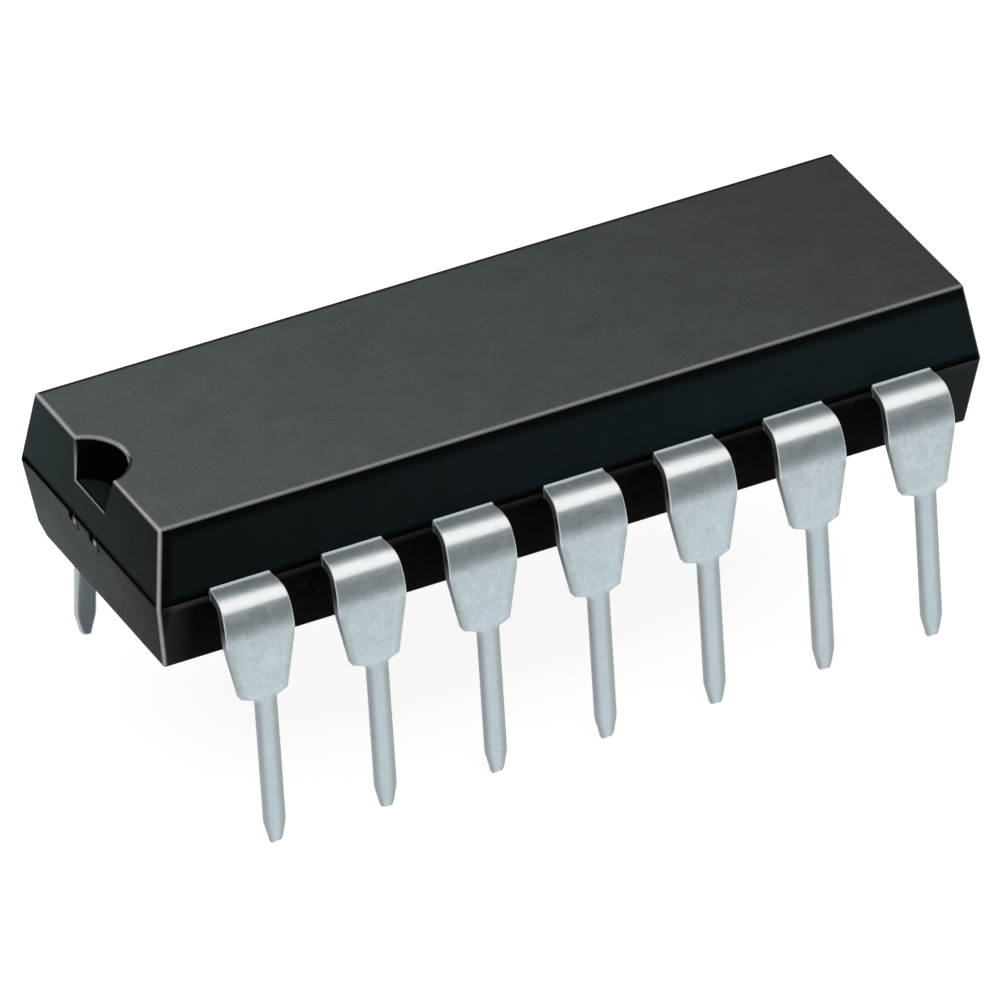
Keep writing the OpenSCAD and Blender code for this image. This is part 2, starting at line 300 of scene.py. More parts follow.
def groove_cutter():
    """Bars along the four walls, just above the parting plane."""
    bm = bmesh.new()
    end_x, end_y = BODY_L / 2, BODY_W / 2
    reach_x, reach_y = end_x - GROOVE_MARGIN, end_y - GROOVE_MARGIN
    for side in (-1, 1):
        x, y = side * end_x, side * end_y
        add_box(bm, (-reach_x, y - GROOVE_D, 0), (reach_x, y + GROOVE_D, GROOVE_H))
        add_box(bm, (x - GROOVE_D, -reach_y, 0), (x + GROOVE_D, reach_y, GROOVE_H))
    return mesh_object("groove_cutter", bm)


def notch_cutter():
    bm = bmesh.new()
    past = UPPER_H + NOTCH_DEPTH
    levels = [(NOTCH_FLOOR, notch_radius(NOTCH_FLOOR)), (past, notch_radius(past))]
    add_cone(bm, (-BODY_L / 2, NOTCH_OFFSET), levels)
    return mesh_object("notch_cutter", bm)


def marks_cutter():
    """Ejector marks under the body and the chips beside the tie bar prongs."""
    bm = bmesh.new()
    for side in (-1, 1):
        levels = [(-2 * LOWER_H, EJECTOR_D / 2), (EJECTOR_DEPTH - LOWER_H, EJECTOR_D / 2)]
        add_cone(bm, (side * EJECTOR_PITCH / 2, 0), levels)
        for prong in (-1, 1):
            y = PRONG_OFFSET + prong * PRONG_PITCH / 2 + PRONG_W / 2
            x = side * (BODY_L / 2 - CHIP_D)
            far = side * BODY_L
            low, high = min(x, far), max(x, far)
            add_box(bm, (low, y, -CHIP_H), (high, y + CHIP_W, GROOVE_H / 2))
    return mesh_object("marks_cutter", bm)


def cut(made, cutters):
    for cutter in cutters:
        step = made.modifiers.new("cut", "BOOLEAN")
        step.operation = "DIFFERENCE"
        step.solver = "EXACT"
        step.object = cutter
    settled(made)
    for cutter in cutters:
        bpy.data.objects.remove(cutter)
    return made


def near(a, b):
    return abs(a - b) < TOLERANCE


def on_end(p):
    return near(abs(p.x), half_length(p.z))


def on_side(p):
    return near(abs(p.y), half_width(p.z))


def on_wall(p):
    return on_end(p) or on_side(p)


def on_top(p):
    return near(p.z, UPPER_H)


def on_bottom(p):
    return near(p.z, -LOWER_H)


def on_notch(p):
    return near(notch_distance(p), notch_radius(p.z)) and p.z > NOTCH_FLOOR - TOLERANCE


def in_groove_span(p):
    """True between the ends of the groove's bars."""
    along_side = on_side(p) and abs(p.x) < BODY_L / 2 - GROOVE_MARGIN + TOLERANCE
    along_end = on_end(p) and abs(p.y) < BODY_W / 2 - GROOVE_MARGIN + TOLERANCE
    return along_side or along_end


def at_back(p):
    """True on the far long side and the far end, whose edges are crisper."""
    return (on_side(p) and p.y > 0) or (on_end(p) and p.x > 0)


# Each rounded edge of the body: a test for both its ends, and its share of the full edge width
EDGES = [
    (lambda p: on_end(p) and on_side(p) and at_back(p), 0.5),
    (lambda p: on_end(p) and on_side(p), 1.0),
    (lambda p: on_top(p) and at_back(p), 0.5),
    (lambda p: on_top(p) and on_wall(p), 1.0),
    (lambda p: on_bottom(p) and on_wall(p), 1.0),
    (lambda p: on_top(p) and on_notch(p), 0.9),
    (lambda p: on_end(p) and on_notch(p) and p.y > NOTCH_OFFSET, 0.8),
    (lambda p: on_end(p) and on_notch(p) and p.y < NOTCH_OFFSET, 0.25),
    (lambda p: on_end(p) and near(p.z, NOTCH_FLOOR) and notch_distance(p) < NOTCH_R, 0.6),
    (lambda p: near(p.z, 0) and in_groove_span(p), 0.35),
    (lambda p: near(p.z, GROOVE_H) and in_groove_span(p), 0.2),
]


def round_edges(made):
    """Rounds the listed edges. The faces of the roundings get the second material."""
    bm = bmesh.new()
    bm.from_mesh(made.data)
    bmesh.ops.remove_doubles(bm, verts=bm.verts, dist=TOLERANCE / 10)
    bmesh.ops.dissolve_limit(bm, angle_limit=math.radians(0.1), verts=bm.verts, edges=bm.edges)
    weight = bm.edges.layers.float.new("bevel_weight_edge")
    for edge in bm.edges:
        a, b = (v.co for v in edge.verts)
        for test, share in EDGES:
            if test(a) and test(b):
                edge[weight] = share
                break
    bm.to_mesh(made.data)
    bm.free()
    for _ in range(2):
        made.data.materials.append(None)
    rounding = made.modifiers.new("round", "BEVEL")
    rounding.limit_method = "WEIGHT"
    rounding.width = EDGE_W
    rounding.segments = EDGE_SEGMENTS
    rounding.use_clamp_overlap = False
    rounding.material = 1
    return settled(made)


def on_corner(p):
    """True on the rounded corner between an end and a side."""
    return abs(p.x) > half_length(p.z) - EDGE_REACH and abs(p.y) > half_width(p.z) - EDGE_REACH


def edge_highlight_at(p, n):
    """How strong the painted highlight on a rounded edge is at point p with normal n, from 0 to 1."""
    # Roundings that face away from the light get no painted highlight
    if n.x > FACES_AWAY or n.y > FACES_AWAY or n.z < -FACES_AWAY:
        return 0.0
    if abs(p.z) < GROOVE_REACH and not on_corner(p):
        return GROOVE_HIGHLIGHT_LEVEL
    rim_r = notch_radius(p.z)
    by_notch = p.x < NOTCH_R - BODY_L / 2 and notch_distance(p) < rim_r + EDGE_REACH
    if by_notch and p.z < NOTCH_RIM_Z:
        if p.z < NOTCH_FLOOR + EDGE_W and p.y < NOTCH_OFFSET + rim_r - EDGE_W:
            return NOTCH_FLOOR_HIGHLIGHT_LEVEL
        return NOTCH_WALL_HIGHLIGHT_LEVEL if p.y > NOTCH_OFFSET else 0.0
    if by_notch and n.x > RIM_NORMAL_X:
        return along(NOTCH_RIM_HIGHLIGHT_LEVEL, p.y)
    if n.z > TOP_EDGE_NORMAL_Z and n.x > TOP_EDGE_NORMAL_X:
        return along(TOP_FRONT_HIGHLIGHT_LEVEL, n.z)
    return EDGE_HIGHLIGHT_LEVEL


# Linear colours of the body's faces, with light and shade painted into them: the sides are darker than
# the ends, and the lower ends paler. The top and the lower ends carry painted light, the other faces
# painted shade
TOP_PAINTED_LIGHT_TONE = (0.0430, 0.0505, 0.0490)
END_PAINTED_SHADE_TONE = (0.0200, 0.0285, 0.0310)
SIDE_PAINTED_SHADE_TONE = (0.0050, 0.0088, 0.0103)
END_LOW_PAINTED_LIGHT_TONE = (0.0400, 0.0520, 0.0520)
SIDE_LOW_PAINTED_SHADE_TONE = (0.0008, 0.0003, 0.0002)
PIT_PAINTED_SHADE_TONE = (0.0008, 0.0004, 0.0002)
PIT_FLOOR_PAINTED_SHADE_TONE = (0.0070, 0.0130, 0.0125)
BACK_EDGE_PAINTED_SHADE_TONE = (0.0020, 0.0020, 0.0020)


def painted_light_tone_at(centre, normal, p, rounded):
    """Colour of a face, with light and shade painted into it, from its centre and normal, at its corner
    p. It fades along the face as painted light that falls off across the top and the walls.
    """
    x, y = p.x / BODY_L, p.y / BODY_W
    in_groove = -TOLERANCE < centre.z < GROOVE_H + TOLERANCE and not on_wall(centre)
    in_notch = notch_distance(centre) < notch_radius(centre.z) + TOLERANCE
    on_notch_wall = in_notch and NOTCH_FLOOR - TOLERANCE < centre.z < UPPER_H - EDGE_W / 2
    share = 1.0
    # Painted shade in the groove and the notch, and a dark line of painted shade on the roundings at the
    # back
    if in_notch and normal.z > 0.9:
        painted_light_tone = PIT_FLOOR_PAINTED_SHADE_TONE
    elif in_groove or on_notch_wall:
        painted_light_tone = PIT_PAINTED_SHADE_TONE
    elif rounded and normal.z > 0.05 and (normal.x > 0.05 or normal.y > 0.05):
        painted_light_tone = BACK_EDGE_PAINTED_SHADE_TONE
    # Painted light on the top and the lower ends, painted shade on the sides and ends; each share is
    # painted light falling off along the face
    elif normal.z > 0.5 and centre.z > UPPER_H / 2:
        painted_light_tone = TOP_PAINTED_LIGHT_TONE
        share = 1.1 - 0.8 * x + 0.25 * x ** 2 - 0.1 * y
    elif normal.z < -0.5:
        painted_light_tone = END_PAINTED_SHADE_TONE
    elif abs(normal.x) > abs(normal.y) and centre.z > 0:
        painted_light_tone = END_PAINTED_SHADE_TONE
        share = 0.95 + 1.05 * y
    elif abs(normal.x) > abs(normal.y):
        painted_light_tone = END_LOW_PAINTED_LIGHT_TONE
        share = 0.9 + 1.3 * y
    elif centre.z > 0:
        painted_light_tone = SIDE_PAINTED_SHADE_TONE
        share = 1.0 + 0.5 * x
    else:
        painted_light_tone = SIDE_LOW_PAINTED_SHADE_TONE
    return [share * level for level in painted_light_tone]


def depth_inside(mesh, flat_points):
    """How many points each point of a rounding lies from the nearest flat."""
    linked = {v.index: [] for v in mesh.vertices}
    for edge in mesh.edges:
        a, b = edge.vertices
        linked[a].append(b)
        linked[b].append(a)
    depth = {index: 0 for index in flat_points}
    front = list(flat_points)
    while front:
        reached = []
        for index in front:
            for other in linked[index]:
                if other not in depth:
                    depth[other] = depth[index] + 1
                    reached.append(other)
        front = reached
    return depth


def mark_surface(made):
    """Writes each face's colour with its painted light and shade, and how strong each point's painted
    highlight is, most in the middle of a rounding.
    """
    mesh = made.data
    flat_points = set()
    for face in mesh.polygons:
        if face.material_index == 0:
            flat_points.update(face.vertices)
    depth = depth_inside(mesh, flat_points)
    mesh.attributes.new("painted_highlight", "FLOAT", "POINT")
    mesh.attributes.new("painted_light_tone", "FLOAT_COLOR", "CORNER")
    painted_highlight, painted_light_tone = mesh.attributes["painted_highlight"], mesh.attributes["painted_light_tone"]
    for v in mesh.vertices:
        inside = min(1.0, depth.get(v.index, 0) / (EDGE_SEGMENTS / 2))
        painted_highlight.data[v.index].value = math.sin(math.pi / 2 * inside) ** 2 * edge_highlight_at(v.co, v.normal)
    for face in mesh.polygons:
        centre, normal = face.center.copy(), face.normal.copy()
        for j in face.loop_indices:
            p = mesh.vertices[mesh.loops[j].vertex_index].co
            painted_light_tone.data[j].color = (*painted_light_tone_at(centre, normal, p, face.material_index == 1), 1.0)
    for face in mesh.polygons:
        face.material_index = 0
        face.use_smooth = True
    mesh.materials.clear()
    mesh.set_sharp_from_angle(angle=BODY_CREASE)
    keep_flats = made.modifiers.new("keep_flats", "WEIGHTED_NORMAL")
    keep_flats.keep_sharp = True
    keep_flats.weight = 100


def moulded_body():
    made = cut(sharp_body(), [groove_cutter(), marks_cutter(), notch_cutter()])
    round_edges(made)
    mark_surface(made)
    return to_row_frame(made)


# The leads

def bend_line():
    """Points (distance, height, tilt) down the middle of the sheet round the bend, from its start."""
    half = SHEET_T / 2
    y, z, tilt = 0.0, 0.0, 0.0
    line = [(y, z, tilt)]
    for outer_r, last in BEND_TURNS:
        r = outer_r - half
        for s in range(1, BEND_STEPS + 1):
            a = tilt + (last - tilt) * s / BEND_STEPS
            step_y = r * (math.sin(a) - math.sin(tilt))
            step_z = r * (math.cos(tilt) - math.cos(a))
            line.append((y + step_y, z - step_z, a))
        y, z, tilt = line[-1]
    return line


def lead_centre_line():
    """Points (distance from the body's middle, height, tilt) down the middle of a lead's sheet."""
    half = SHEET_T / 2
    bend = bend_line()
    reach, drop, last = bend[-1]
    face_y = LEG_FACE_Y - (drop + half * math.cos(last)) * math.tan(SPLAY)
    neck_end = face_y - half * math.sin(last) - reach
    bead = BODY_W / 2 + ROOT_BEAD_L
    line = [(y, 0.0, 0.0) for y in (JOIN_Y - JOIN_LAP, HIDDEN_RING_Y, BODY_W / 2, bead)]
    line += [(bead + (neck_end - bead) * s, 0.0, 0.0) for s in NECK_RINGS]
    line += [(neck_end + y, z, a) for y, z, a in bend]
    y1, z1, _ = line[-1]
    line += [(y1 + (z1 - z) * math.tan(SPLAY), z, last) for z in leg_heights()]
    return line


def leg_heights():
    """Heights of the rings from the bend to the tip, closer at each crease of the outline."""
    foot, root, tip = -FOOT_DROP, -ROOT_DROP, -PARTING_Z
    taper = tip + TIP_L
    leg = [-BEND_MARK_DROP] + [-drop for drop in LEG_RING_DROPS]
    step = [foot + 1.5 * RING_GAP, foot, foot - RING_GAP]
    step += [root, root - RING_GAP, root - 3 * RING_GAP]
    pin = [root + (taper - root) * s / 6 for s in range(1, 6)]
    end = [taper + RING_GAP, taper - RING_GAP, tip + BEVEL_L + 1.5 * RING_GAP]
    return leg + step + pin + end + [tip + BEVEL_L, tip + BEVEL_L / 2, tip]


def width_at(y, z):
    """Width of a lead's strip at a point of its middle line."""
    tip = -PARTING_Z
    plan = [(0, NECK_W), (BODY_W / 2, NECK_W), (BEND_Y, BEND_W), (BEND_END_Y, SHOULDER_W)]
    front = [
        (tip, TIP_W),
        (tip + TIP_L, PIN_W),
        (-ROOT_DROP - 2 * RING_GAP, PIN_W),
        (-ROOT_DROP, PIN_W + ROOT_FLARE),
        (-FOOT_DROP, FOOT_W),
        (-SHOULDER_DROP, SHOULDER_W),
    ]
    return min(along(plan, y), along(front, z))


def section(w, t, front_r, back_r):
    """Points (across, out, side, rim) round a rounded rectangle of width w and thickness t."""
    points = []
    for k, (sx, sy) in enumerate(((1, 1), (-1, 1), (-1, -1), (1, -1))):
        r = min(front_r if sy > 0 else back_r, 0.49 * t, 0.49 * w)
        for s in range(CORNER_STEPS + 1):
            a = math.pi / 2 * (k + s / CORNER_STEPS)
            across = sx * (w / 2 - r) + r * math.cos(a)
            out = sy * (t / 2 - r) + r * math.sin(a)
            points.append((across, out, math.cos(a) ** 2, math.sin(2 * a) ** 2))
    return points


def outer_lead(rng):
    """Rings of a lead outside the body, for the back row at column 0, with each point's marks."""
    rings = []
    marks = []
    tip_z = -PARTING_Z
    lean = rng.uniform(-TIP_LEAN, TIP_LEAN)
    for y, z, tilt in lead_centre_line():
        w = width_at(y, z)
        pin = along([(-PIN_MARK_DROP, 1.0), (-FOOT_DROP, 0.0)], z)
        end = along([(tip_z, 1.0), (tip_z + BEVEL_L, 0.0)], z)
        high = along([(-BEND_MARK_DROP, 0.0), (-SHOULDER_DROP, 1.0)], z)
        bead = along([(BODY_W / 2, 1.0), (BODY_W / 2 + ROOT_BEAD_L, 0.0)], y)
        t = SHEET_T - BEVEL_D * end + 2 * ROOT_BEAD * bead
        front_r = (SHEET_EDGE_R + (PIN_FRONT_R - SHEET_EDGE_R) * pin) * (1 - 0.5 * end)
        back_r = SHEET_EDGE_R + (PIN_BACK_R - SHEET_EDGE_R) * pin
        out = Vector((0, math.sin(tilt), math.cos(tilt)))
        ring = []
        for u, v, side, rim in section(w, t, front_r, back_r):
            point = Vector((u - PIN_SHIFT * pin, y, z)) + out * (v - BEVEL_D / 2 * end)
            if end == 1.0:
                point.z += abs(lean) * 0.5 + lean * u / TIP_W + out.z * SHEET_T / 2
            ring.append(point)
            marks.append((side, rim, pin, high, 2 * u / w))
        rings.append(ring)
    return rings, marks


def inner_lead(node, side):
    """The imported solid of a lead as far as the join, in millimetres from the parting plane."""
    bm = bmesh.new()
    bm.from_mesh(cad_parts[node].data)
    bmesh.ops.scale(bm, vec=(1 / MM, 1 / MM, 1 / MM), verts=bm.verts)
    bmesh.ops.translate(bm, vec=(0, 0, -PARTING_Z), verts=bm.verts)
    bmesh.ops.remove_doubles(bm, verts=bm.verts, dist=TOLERANCE / 10)
    everything = bm.verts[:] + bm.edges[:] + bm.faces[:]
    plane = (0, side * JOIN_Y, 0)
    bmesh.ops.bisect_plane(bm, geom=everything, plane_co=plane, plane_no=(0, side, 0), clear_outer=True)
    bmesh.ops.edgeloop_fill(bm, edges=[e for e in bm.edges if e.is_boundary])
    return bm


def lead_piece(name, node, number):
    """A lead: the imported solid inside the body, and a rounded strip outside it."""
    low, high = (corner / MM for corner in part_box(node))
    side = 1 if low.y + high.y > 0 else -1
    outer = [v.co.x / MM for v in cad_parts[node].data.vertices if abs(v.co.y) > BODY_W / 2 * MM]
    column_x = (min(outer) + max(outer)) / 2

    bm = inner_lead(node, side)
    layers = [bm.verts.layers.float.new(mark) for mark in ("side", "rim", "pin", "high", "across")]
    rings, marks = outer_lead(random.Random(number))
    placed = [[Vector((side * p.x + column_x, side * p.y, p.z)) for p in ring] for ring in rings]
    new_points = [v for loop in add_rings(bm, placed) for v in loop]
    for v, values in zip(new_points, marks):
        for layer, value in zip(layers, values):
            v[layer] = value
    bmesh.ops.recalc_face_normals(bm, faces=bm.faces)

    made = mesh_object(name, bm)
    mesh = made.data
    if "custom_normal" in mesh.attributes:
        mesh.attributes.remove(mesh.attributes["custom_normal"])
    for face in mesh.polygons:
        face.use_smooth = True
    mesh.set_sharp_from_angle(angle=LEAD_CREASE)
    keep_flats = made.modifiers.new("keep_flats", "WEIGHTED_NORMAL")
    keep_flats.keep_sharp = True
    return to_row_frame(made)


# Materials

# Linear colours of the compound's brown stains, of the painted light on its lower walls, of the painted
# shade by the groove and the edges, and of the painted highlights on its edges
BROWN_STAIN = (0.009, 0.0045, 0.003)
SIDE_END_PAINTED_LIGHT = (0.0140, 0.0180, 0.0190)
LIP_PAINTED_LIGHT = (0.042, 0.042, 0.042)
PAINTED_SHADE_COLOUR = (0.0009, 0.0017, 0.0014)
FAR_EDGE_PAINTED_SHADE = (0.004, 0.004, 0.004)
EDGE_HIGHLIGHT_COLOUR = (0.47, 0.45, 0.455)

# The compound's marks, its stains and its painted light and shade, fade in from the first value to the
# second:
# heights over the parting plane,
SEAM_SPAN = (-0.01, 0.0)
BELOW_SPAN = (0.0, -0.01)
BROWN_SPAN = (0.0, -0.1)
LIP_SPAN = (-0.2, -0.04)
GROOVE_SHADE_SPAN = (GROOVE_H + 0.1, GROOVE_H + 0.02)
TOP_EDGE_SHADE_SPAN = (UPPER_H - 0.36, UPPER_H - 0.2)
# distances from the notched end, the far end, the front corner and the top's far edge
LIP_FADE_SPAN = (0.0, 2.0)
NOTCH_END_SPAN = (0.95, 0.1)
FAR_END_SPAN = (1.5, 0.7)
CORNER_SHADE_SPAN = (0.38, 0.24)
FAR_EDGE_SPAN = (0.13, 0.09)
# and parts of the normal: along z, from the walls to the top, and along y, on the front wall
WALL_SPAN = (0.4, 0.6)
FRONT_WALL_SPAN = (-0.7, -0.9)

# Linear colours of the tin: on its faces, where EVEN_MOTTLE is a share between dark and light, then the
# painted highlight over the bend, the neck's brushed streaks with a painted dark reflection of the body,
# and the painted reflections, highlights and shade on its sheared sides and edges
TIN_DARK = (0.46, 0.54, 0.575)
TIN_LIGHT = (0.60, 0.68, 0.715)
EVEN_MOTTLE = (0.3, 0.3, 0.3)
TIN_PATCH = (0.47, 0.545, 0.575)
TIN_SPECK = (0.2, 0.21, 0.21)
BEND_HIGHLIGHT_TINT = (0.64, 0.645, 0.64)
NECK_STREAKS_AND_PAINTED_REFLECTION = (0.22, 0.25, 0.27)
SIDE_BY_BODY = (0.26, 0.3, 0.34)
SIDE_ON_BEND = (0.03, 0.035, 0.04)
SIDE_LIT = (0.3, 0.33, 0.35)
SIDE_LOW = (0.3, 0.34, 0.36)
RIM_HIGHLIGHT_COLOUR = (0.82, 0.88, 0.91)
PIN_EDGE_SHADE = (0.22, 0.25, 0.265)
LEG_EDGE_SHADE = (0.25, 0.29, 0.3)

# The tin's marks, mostly painted light and shade, fade in likewise: heights over the parting plane,
BEND_TOP_SPAN = (-0.2, -0.02)
LIT_SIDE_SPAN = (-0.4, -0.65)
# distances from the body,
ROOT_SPAN = (ROOT_BEAD_L, ROOT_BEAD_L - 0.02)
NECK_SPAN = (0.3, 0.06)
BEND_START_SPAN = (0.3, 0.45)
DARK_SIDE_SPAN = (0.5, 0.75)
# and distances from the strip's middle, as shares of half its width. LIGHT_SHIFT moves the pins' middle
# towards the light.
PIN_EDGE_SPAN = (0.25, 0.85)
LEG_EDGE_SPAN = (0.7, 1.0)
LIGHT_SHIFT = -0.15

# The leadframe's bare sheet, and the fleck of it that shows at each cut prong: half the fleck's width,
# its depths below the parting plane and the blur round it
COPPER_BRIGHT = (0.78, 0.56, 0.42)
COPPER_DULL = (0.45, 0.27, 0.17)
FLECK_HALF_W = 0.03
FLECK_TOP = 0.03
FLECK_BOTTOM = 0.1
FLECK_BLUR = 0.03
# Where the smear of compound begins, by the distance from the body's middle
CUT_END_SPAN = (BODY_L / 2 - 0.12, BODY_L / 2 - 0.08)

# Linear colours of the inner pieces, each between two tones
EPOXY_DARK = (0.42, 0.42, 0.41)
EPOXY_LIGHT = (0.66, 0.66, 0.65)
SILICON_BLUE = (0.12, 0.13, 0.19)
SILICON_VIOLET = (0.2, 0.17, 0.26)
GOLD_DEEP = (0.86, 0.6, 0.2)
GOLD_PALE = (0.95, 0.72, 0.32)


class Look:
    """A node material with a Principled shader and short ways to wire it, in millimetres."""

    def __init__(self, name, **sockets):
        self.material = bpy.data.materials.new(name)
        self.material.use_nodes = True
        self.tree = self.material.node_tree
        self.shader = self.tree.nodes["Principled BSDF"]
        for socket, value in sockets.items():
            self.shader.inputs[socket.replace("_", " ")].default_value = value
        self.coordinates = self.tree.nodes.new("ShaderNodeTexCoord")
        self.place = self.vector("SCALE", self.coordinates.outputs["Object"], 1 / MM)

    def link(self, source, target):
        self.tree.links.new(source, target)

    def put(self, value, socket):
        """Gives a socket a number, a colour or a direction, or links another socket to it."""
        if isinstance(value, (int, float, tuple)):
            socket.default_value = value
        else:
            self.link(value, socket)

    def vector(self, operation, a, b):
        """Scales a vector by a number, or multiplies it by a vector."""
        node = self.tree.nodes.new("ShaderNodeVectorMath")
        node.operation = operation
        self.put(a, node.inputs[0])
        self.put(b, node.inputs["Scale"] if operation == "SCALE" else node.inputs[1])
        return node.outputs[0]

    def noise(self, per_mm, detail=2.0, rough=0.5, stretch=(1, 1, 1)):
        """Cloudy values between 0 and 1, per_mm clouds to the millimetre."""
        node = self.tree.nodes.new("ShaderNodeTexNoise")
        node.inputs["Scale"].default_value = per_mm
        node.inputs["Detail"].default_value = detail
        node.inputs["Roughness"].default_value = rough
        self.link(self.vector("MULTIPLY", self.place, stretch), node.inputs["Vector"])
        return node.outputs["Fac"]

    def clouds(self, per_mm, detail, low=0.0, high=1.0, spread=0.2, **kind):
        """Clouds from low to high, with more contrast where the spread is small."""
        return self.remap(self.noise(per_mm, detail, **kind), 0.5 - spread, 0.5 + spread, low, high)

    def remap(self, value, low, high, to_low=0.0, to_high=1.0, smooth=False):
        """Moves values from one span to another and keeps them within it."""
        node = self.tree.nodes.new("ShaderNodeMapRange")
        if smooth:
            node.interpolation_type = "SMOOTHSTEP"
        node.inputs["From Min"].default_value = low
        node.inputs["From Max"].default_value = high
        node.inputs["To Min"].default_value = to_low
        node.inputs["To Max"].default_value = to_high
        self.link(value, node.inputs["Value"])
        return node.outputs["Result"]

    def calculate(self, operation, a, b=0.0):
        """One step of arithmetic on sockets or numbers."""
        node = self.tree.nodes.new("ShaderNodeMath")
        node.operation = operation
        self.put(a, node.inputs[0])
        self.put(b, node.inputs[1])
        return node.outputs[0]

    def add(self, a, b):
        return self.calculate("ADD", a, b)

    def minus(self, a, b):
        return self.calculate("SUBTRACT", a, b)

    def times(self, a, b):
        return self.calculate("MULTIPLY", a, b)

    def larger(self, a, b):
        return self.calculate("MAXIMUM", a, b)

    def size(self, a):
        """The value without its sign."""
        return self.calculate("ABSOLUTE", a)

    def mix(self, factor, a, b):
        """Mixes two colours, each a socket or three numbers."""
        node = self.tree.nodes.new("ShaderNodeMix")
        node.data_type = "RGBA"
        self.link(factor, node.inputs[0])
        for socket, value in zip((node.inputs[6], node.inputs[7]), (a, b)):
            self.put((*value, 1) if isinstance(value, tuple) else value, socket)
        return node.outputs[2]

    def part(self, vector, letter):
        """One of a vector's three parts."""
        node = self.tree.nodes.new("ShaderNodeSeparateXYZ")
        self.link(vector, node.inputs[0])
        return node.outputs[letter]

    def axis(self, letter):
        """One coordinate of the surface point."""
        return self.part(self.place, letter)

    def facing(self, letter):
        """One part of the surface normal in the object's own directions."""
        return self.part(self.coordinates.outputs["Normal"], letter)

    def attribute(self, name, kind="Fac"):
        node = self.tree.nodes.new("ShaderNodeAttribute")
        node.attribute_name = name
        return node.outputs[kind]

    def brightness(self, colour):
        node = self.tree.nodes.new("ShaderNodeRGBToBW")
        self.link(colour, node.inputs[0])
        return node.outputs[0]

    def colour(self, source):
        self.link(source, self.shader.inputs["Base Color"])

    def metallic(self, source):
        self.link(source, self.shader.inputs["Metallic"])

    def roughness(self, source):
        self.link(source, self.shader.inputs["Roughness"])

    def bump(self, height, depth):
        """Raises the surface by height times depth."""
        node = self.tree.nodes.new("ShaderNodeBump")
        node.inputs["Strength"].default_value = 1.0
        node.inputs["Distance"].default_value = depth * MM
        self.link(height, node.inputs["Height"])
        self.link(node.outputs["Normal"], self.shader.inputs["Normal"])


def with_stains_and_painted_light(look, body, over):
    """Marks the walls below the parting plane: brown stain clouds, painted light on the ends of the
    sides, and painted light on the lip under the groove.
    """
    from_notch_end = look.add(look.axis("X"), BODY_L / 2)
    from_far_end = look.minus(BODY_L / 2, look.axis("X"))
    dark = look.remap(look.brightness(body), 0.01, 0.002)

    brown = look.times(
        look.remap(over, *BROWN_SPAN),
        look.remap(look.noise(3.5, 3, 0.7), 0.5, 0.8, 0.0, 0.8),
    )
    body = look.mix(look.times(brown, dark), body, BROWN_STAIN)

    dark = look.times(dark, look.remap(over, *BELOW_SPAN))
    # Painted light: the ends of the lower sides are paler
    near_ends = look.larger(
        look.remap(from_notch_end, *NOTCH_END_SPAN, smooth=True),
        look.remap(from_far_end, *FAR_END_SPAN, smooth=True),
    )
    body = look.mix(look.times(near_ends, dark), body, SIDE_END_PAINTED_LIGHT)

    # Painted light on the lip just under the groove, falling off away from the notched end
    lip = look.times(
        look.remap(over, *LIP_SPAN, 0.0, 0.85, smooth=True),
        look.remap(from_notch_end, *LIP_FADE_SPAN, 1.0, 0.35),
    )
    return look.mix(look.times(lip, dark), body, LIP_PAINTED_LIGHT)


def with_painted_shade(look, body, over):
    """Paints shade on the walls over the groove, on two borders of the front wall and on the far edge of
    the top.
    """
    wall = look.remap(look.facing("Z"), *WALL_SPAN, 1.0, 0.0)
    # Painted shade over the groove
    seam = look.times(
        look.remap(over, *SEAM_SPAN),
        look.remap(over, *GROOVE_SHADE_SPAN),
    )
    # Painted shade below the top's front edge and beside the front corner
    from_corner = look.minus(
        look.add(look.axis("X"), BODY_L / 2),
        look.times(over, math.tan(END_DRAFT)),
    )
    borders = look.larger(
        look.remap(over, *TOP_EDGE_SHADE_SPAN, 0.0, 0.9),
        look.remap(from_corner, *CORNER_SHADE_SPAN, 0.0, 0.8),
    )
    borders = look.times(borders, look.remap(look.facing("Y"), *FRONT_WALL_SPAN))
    body = look.mix(look.times(look.larger(seam, borders), wall), body, PAINTED_SHADE_COLOUR)

    # Painted shade along the far edge of the top
    from_far_edge = look.minus(half_width(UPPER_H), look.axis("Y"))
    far = look.remap(from_far_edge, *FAR_EDGE_SPAN, 0.0, 0.85)
    return look.mix(look.times(far, look.minus(1.0, wall)), body, FAR_EDGE_PAINTED_SHADE)


def mould_compound():
    """Black epoxy: each face's tone with its painted light and shade and a fine grain, brown stains,
    painted light and shade on the walls, and painted highlights on the edges.
    """
    look = Look("mould_compound", Specular_IOR_Level=0.025)
    over = look.minus(look.axis("Z"), PARTING_Z)
    shade = look.times(look.clouds(14, 3, 0.9, 1.1), look.clouds(1.1, 2, 0.94, 1.06))
    body = look.vector("SCALE", look.attribute("painted_light_tone", "Color"), shade)
    body = with_painted_shade(look, with_stains_and_painted_light(look, body, over), over)
    # Painted highlights on the roundings that face the light
    edge_highlight = look.times(look.attribute("painted_highlight"), look.clouds(6, 2, 0.88, 1.08))
    look.colour(look.mix(edge_highlight, body, EDGE_HIGHLIGHT_COLOUR))
    look.roughness(look.clouds(9, 2, 0.42, 0.52))
    look.bump(look.noise(28, 3), 0.004)
    return look.material


